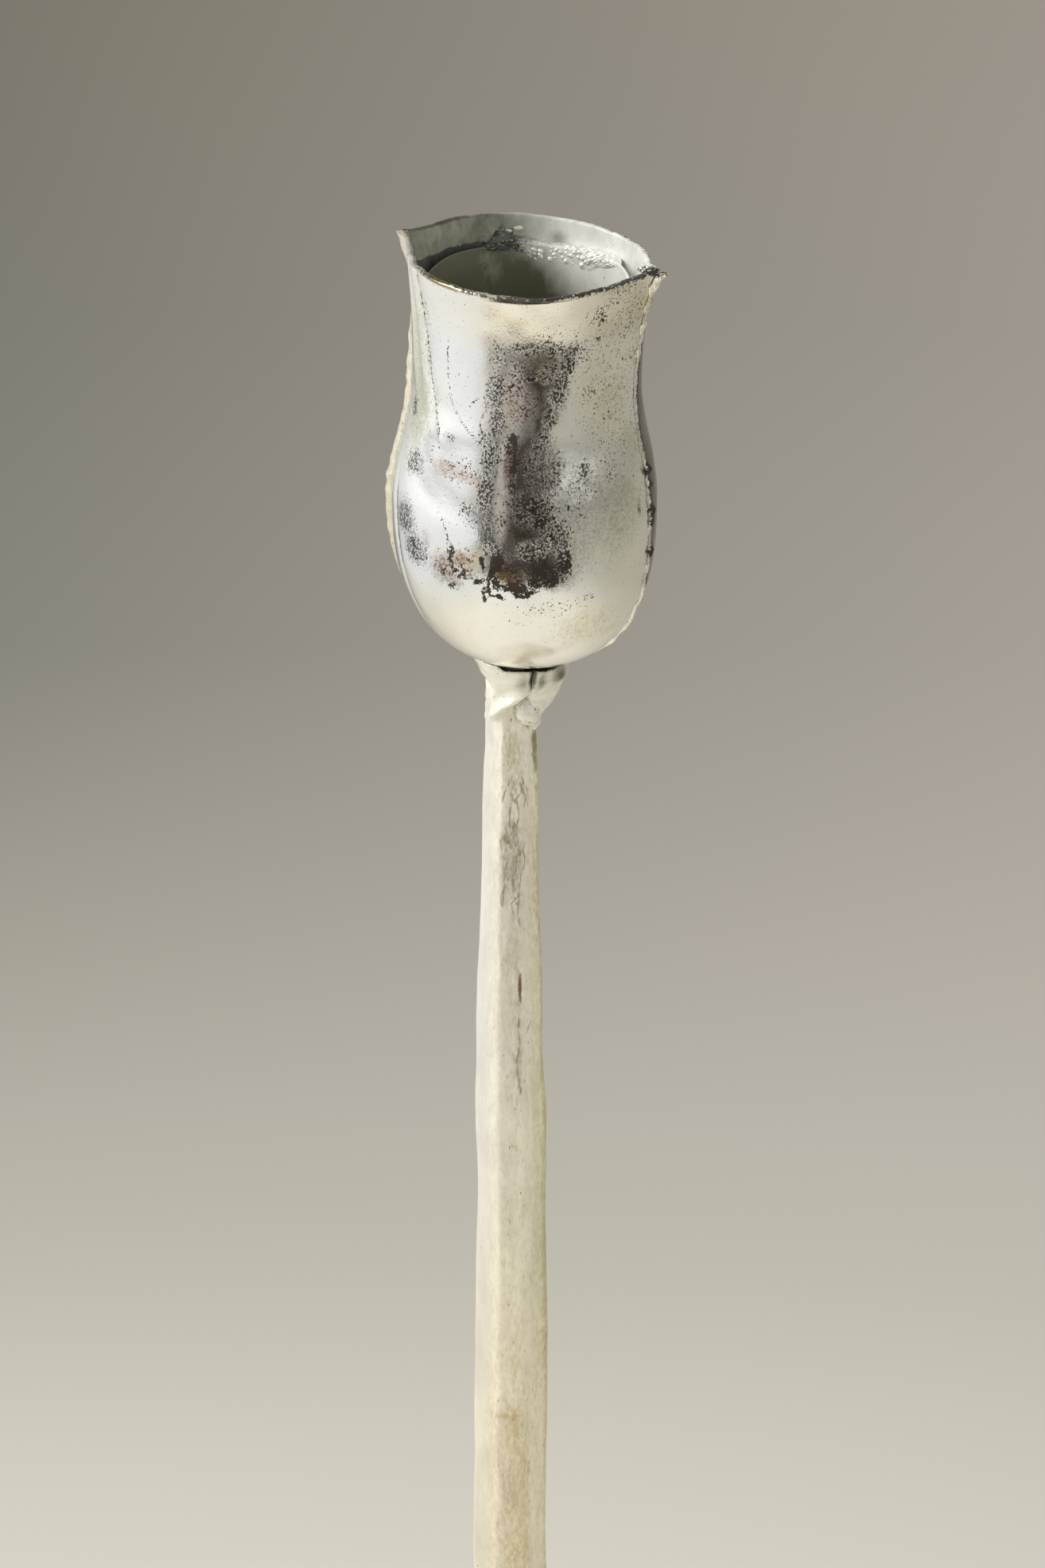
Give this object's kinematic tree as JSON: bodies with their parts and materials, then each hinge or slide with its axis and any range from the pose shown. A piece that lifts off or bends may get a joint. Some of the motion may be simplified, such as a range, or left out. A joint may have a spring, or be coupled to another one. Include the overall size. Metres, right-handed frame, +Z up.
{
  "type": "taper candle holder",
  "caption": "Candle holder for a taper: a tulip-bud cup of hammered silver-leafed petals with drawn-out tips round a candle socket, on a tall forged faceted stem with a round foot.",
  "frame": {"origin": "centre of the underside of the felt, on the stem's axis, where the holder stands", "axes": "+Z up along the stem; -Y is the side that faces the viewer, with the drawn-out tips to the left and right along X"},
  "size_m": [0.098, 0.098, 0.2538],
  "materials": {
    "petal_leaf": "silver leaf on iron, rubbed and spotted with age",
    "socket_leaf": "dull silver leaf",
    "stem_leaf": "warm satin silver leaf on forged iron",
    "foot_leaf": "warm satin silver leaf on iron",
    "steel": "zinc plated",
    "felt": "pressed wool felt"
  },
  "bodies": {
    "root": {"front_petal": "petal_leaf", "back_petal": "petal_leaf", "left_seam_braze": "petal_leaf", "right_seam_braze": "petal_leaf", "candle_socket": "socket_leaf", "socket_floor": "socket_leaf", "socket_braze_bead": "socket_leaf", "left_sepal": "stem_leaf", "right_sepal": "stem_leaf", "stem": "stem_leaf", "foot": "foot_leaf", "foot_screw": "steel", "foot_washer": "steel", "felt_pad": "felt"}
  },
  "joints": []
}
